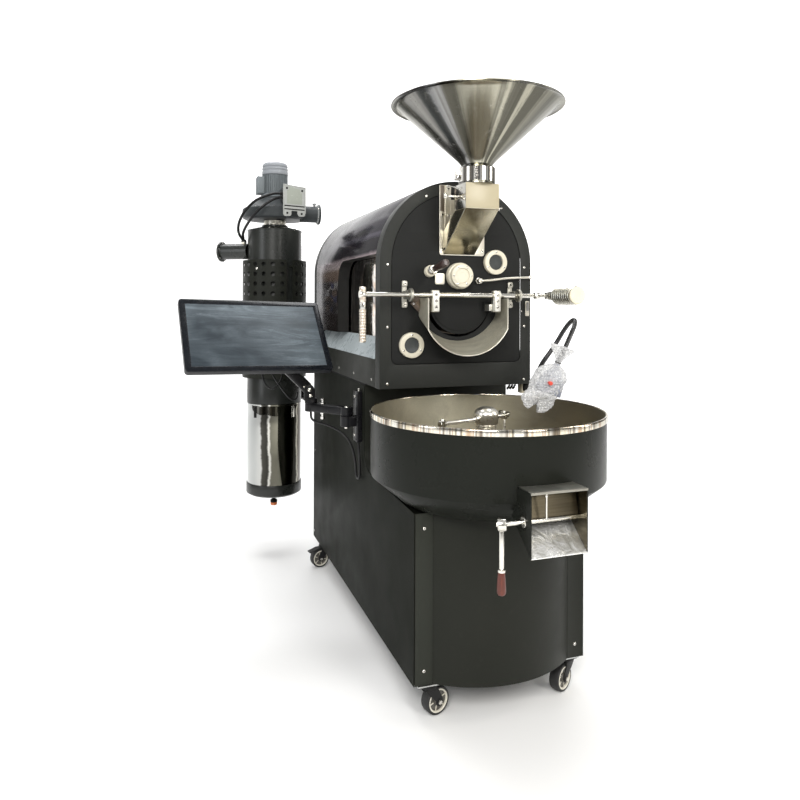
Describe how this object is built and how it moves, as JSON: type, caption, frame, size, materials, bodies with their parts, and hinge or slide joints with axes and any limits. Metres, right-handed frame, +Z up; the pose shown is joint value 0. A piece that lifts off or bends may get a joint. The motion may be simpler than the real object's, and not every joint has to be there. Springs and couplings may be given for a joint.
{
  "type": "gas coffee roaster",
  "caption": "Free-standing gas drum coffee roaster on casters with bean hopper, round cooling tray and stirrer, chaff cyclone with fan, and a screen on a jointed arm.",
  "frame": {"origin": "bottom centre of the whole machine's bounding box, on the floor", "axes": "+X to the operator's right, +Y from the cooling tray to the back, +Z up"},
  "size_m": [1.2688, 1.936, 1.835],
  "materials": {
    "frame_coat": "satin",
    "cabinet_coat": "fine textured satin",
    "face_coat": "fine textured matt",
    "shell_gloss": "mirror black",
    "brushed_steel": "brushed",
    "polished_steel": "circular brushed",
    "mirror_steel": "mirror polished",
    "drum_steel": "heat-tinted",
    "motor_grey": "cast, painted",
    "zinc": "zinc plated",
    "burner_iron": "raw",
    "handle_wood": "dark lacquer",
    "fan_coat": "cast, painted",
    "cable_black": "matt",
    "arm_plastic": "fine grain",
    "screen_plastic": "dusty gloss",
    "lamp_coat": "gloss black",
    "lamp_wrap": "clear bubble film",
    "tyre_rubber": "matt"
  },
  "bodies": {
    "root": {"base_frame": "frame_coat", "left_side_panel": "cabinet_coat", "right_side_panel": "cabinet_coat", "front_panel": "cabinet_coat", "rear_panel": "cabinet_coat", "tray_bay_panel": "cabinet_coat", "upper_deck": "cabinet_coat", "front_plate": "cabinet_coat", "face_cover": "face_coat", "sight_glass_upper": "brushed_steel", "sight_glass_lower": "brushed_steel", "temperature_probe": "brushed_steel", "discharge_spout": "brushed_steel", "drum_shell": "shell_gloss", "inner_jacket": "shell_gloss", "rear_plate": "face_coat", "drive_motor": "motor_grey", "burner": "burner_iron", "feed_chute": "brushed_steel", "gate_box": "brushed_steel", "hopper": "polished_steel", "cooling_tray": "cabinet_coat", "stirrer_motor": "motor_grey", "chute_box": "cabinet_coat", "cyclone_body": "face_coat", "heat_guard": "face_coat", "exhaust_duct": "zinc", "fan_housing": "fan_coat", "fan_motor": "motor_grey", "motor_cable": "cable_black", "arm_bracket": "arm_plastic", "monitor_cable": "cable_black"},
    "fork_fl": {"caster_fork_fl": "zinc"},
    "wheel_fl": {"caster_wheel_fl": "tyre_rubber"},
    "fork_fr": {"caster_fork_fr": "zinc"},
    "wheel_fr": {"caster_wheel_fr": "tyre_rubber"},
    "fork_rl": {"caster_fork_rl": "zinc"},
    "wheel_rl": {"caster_wheel_rl": "tyre_rubber"},
    "fork_rr": {"caster_fork_rr": "zinc"},
    "wheel_rr": {"caster_wheel_rr": "tyre_rubber"},
    "pedal_rl": {"brake_pedal_rl": "arm_plastic"},
    "pedal_rr": {"brake_pedal_rr": "arm_plastic"},
    "drum_body": {"drum": "drum_steel"},
    "motor_sprocket_body": {"motor_sprocket": "zinc"},
    "stirrer_body": {"stirrer": "brushed_steel"},
    "door_body": {"door_shaft": "brushed_steel", "discharge_door": "face_coat", "counterweight_grip": "brushed_steel"},
    "trier_body": {"trier": "handle_wood"},
    "feed_gate_body": {"hopper_gate": "brushed_steel"},
    "tray_gate_body": {"chute_gate": "brushed_steel"},
    "impeller_body": {"fan_impeller": "zinc"},
    "bucket_body": {"chaff_bucket": "mirror_steel"},
    "lower_arm_body": {"lower_arm": "arm_plastic"},
    "elbow_body": {"elbow_link": "arm_plastic"},
    "upper_arm_body": {"upper_arm": "arm_plastic"},
    "head_body": {"monitor_head": "arm_plastic"},
    "screen_body": {"monitor": "screen_plastic"},
    "lamp_arm_body": {"lamp_arm": "lamp_coat"},
    "lamp_head_body": {"lamp_head": "lamp_wrap"}
  },
  "joints": [
    {"name": "swivel_fl", "type": "hinge", "parent": "root", "child": "fork_fl", "pos_m": [0.03395, -0.64, 0.09], "axis": [0, 0, 1], "continuous": true},
    {"name": "roll_fl", "type": "hinge", "parent": "fork_fl", "child": "wheel_fl", "pos_m": [0.06069, -0.6317, 0.04], "axis": [0.2966, -0.955, 0], "continuous": true},
    {"name": "swivel_fr", "type": "hinge", "parent": "root", "child": "fork_fr", "pos_m": [0.49095, -0.63, 0.09], "axis": [0, 0, 1], "continuous": true},
    {"name": "roll_fr", "type": "hinge", "parent": "fork_fr", "child": "wheel_fr", "pos_m": [0.46617, -0.64304, 0.04], "axis": [-0.4656, 0.885, 0], "continuous": true},
    {"name": "swivel_rl", "type": "hinge", "parent": "root", "child": "fork_rl", "pos_m": [0.01295, 0.559, 0.09], "axis": [0, 0, 1], "continuous": true},
    {"name": "roll_rl", "type": "hinge", "parent": "fork_rl", "child": "wheel_rl", "pos_m": [-0.01465, 0.55428, 0.04], "axis": [-0.1685, 0.9857, 0], "continuous": true},
    {"name": "swivel_rr", "type": "hinge", "parent": "root", "child": "fork_rr", "pos_m": [0.50495, 0.559, 0.09], "axis": [0, 0, 1], "continuous": true},
    {"name": "roll_rr", "type": "hinge", "parent": "fork_rr", "child": "wheel_rr", "pos_m": [0.51895, 0.58325, 0.04], "axis": [0.866, -0.5, 0], "continuous": true},
    {"name": "brake_rl", "type": "hinge", "parent": "fork_rl", "child": "pedal_rl", "pos_m": [-0.01465, 0.55428, 0.083], "axis": [0.1685, -0.9857, 0], "range_deg": [0, 8]},
    {"name": "brake_rr", "type": "hinge", "parent": "fork_rr", "child": "pedal_rr", "pos_m": [0.51895, 0.58325, 0.083], "axis": [-0.866, 0.5, 0], "range_deg": [0, 8]},
    {"name": "drum_spin", "type": "hinge", "parent": "root", "child": "drum_body", "pos_m": [0.25895, -0.062, 1.265], "axis": [0, 1, 0], "continuous": true},
    {"name": "motor_sprocket_spin", "type": "hinge", "parent": "root", "child": "motor_sprocket_body", "pos_m": [0.36895, 0.462, 0.96], "axis": [0, 1, 0], "continuous": true},
    {"name": "stirrer_spin", "type": "hinge", "parent": "root", "child": "stirrer_body", "pos_m": [0.25895, -0.552, 0.65], "axis": [0, 0, 1], "continuous": true},
    {"name": "door_swing", "type": "hinge", "parent": "root", "child": "door_body", "pos_m": [0.25895, -0.4, 1.2], "axis": [-1, 0, 0], "range_deg": [0, 70]},
    {"name": "trier_slide", "type": "slide", "parent": "root", "child": "trier_body", "axis": [0, -0.988, 0.1541], "range_m": [0, 0.14]},
    {"name": "feed_gate_slide", "type": "slide", "parent": "root", "child": "feed_gate_body", "axis": [-1, 0, 0], "range_m": [0, 0.085]},
    {"name": "tray_gate_swing", "type": "hinge", "parent": "root", "child": "tray_gate_body", "pos_m": [0.25895, -0.934, 0.625], "axis": [1, 0, 0], "range_deg": [0, 60]},
    {"name": "impeller_spin", "type": "hinge", "parent": "root", "child": "impeller_body", "pos_m": [-0.17805, 0.818, 1.6], "axis": [0, 0, 1], "continuous": true},
    {"name": "bucket_lower", "type": "slide", "parent": "root", "child": "bucket_body", "axis": [0, 0, -1], "range_m": [0, 0.15]},
    {"name": "arm_base_swivel", "type": "hinge", "parent": "root", "child": "lower_arm_body", "pos_m": [-0.06605, -0.106, 0.757], "axis": [0, 0, 1], "range_deg": [-5, 12]},
    {"name": "arm_elbow_swivel", "type": "hinge", "parent": "lower_arm_body", "child": "elbow_body", "pos_m": [-0.16605, 0.028, 0.8], "axis": [0, 0, 1], "range_deg": [-15, 15]},
    {"name": "arm_lift", "type": "hinge", "parent": "elbow_body", "child": "upper_arm_body", "pos_m": [-0.17805, 0.026, 0.858], "axis": [0.0654, -0.9979, 0], "range_deg": [-15, 15]},
    {"name": "head_level", "type": "hinge", "parent": "upper_arm_body", "child": "head_body", "pos_m": [-0.36105, 0.014, 1.043], "axis": [0.0654, -0.9979, 0], "range_deg": [-15, 15]},
    {"name": "screen_tilt", "type": "hinge", "parent": "head_body", "child": "screen_body", "pos_m": [-0.38108, -0.02417, 1.03108], "axis": [0.9912, 0.13, -0.025], "range_deg": [-12, 15]},
    {"name": "lamp_swivel", "type": "hinge", "parent": "root", "child": "lamp_arm_body", "pos_m": [0.53095, -0.314, 0.88], "axis": [0, 0, 1], "range_deg": [-3, 16]},
    {"name": "lamp_head_twist", "type": "hinge", "parent": "lamp_arm_body", "child": "lamp_head_body", "pos_m": [0.52295, -0.531, 0.98], "axis": [-0.3397, 0.05, -0.9392], "range_deg": [-60, 60]}
  ],
  "couplings": [
    {"joint": "motor_sprocket_spin", "follows": "drum_spin", "ratio": 2.1875}
  ]
}
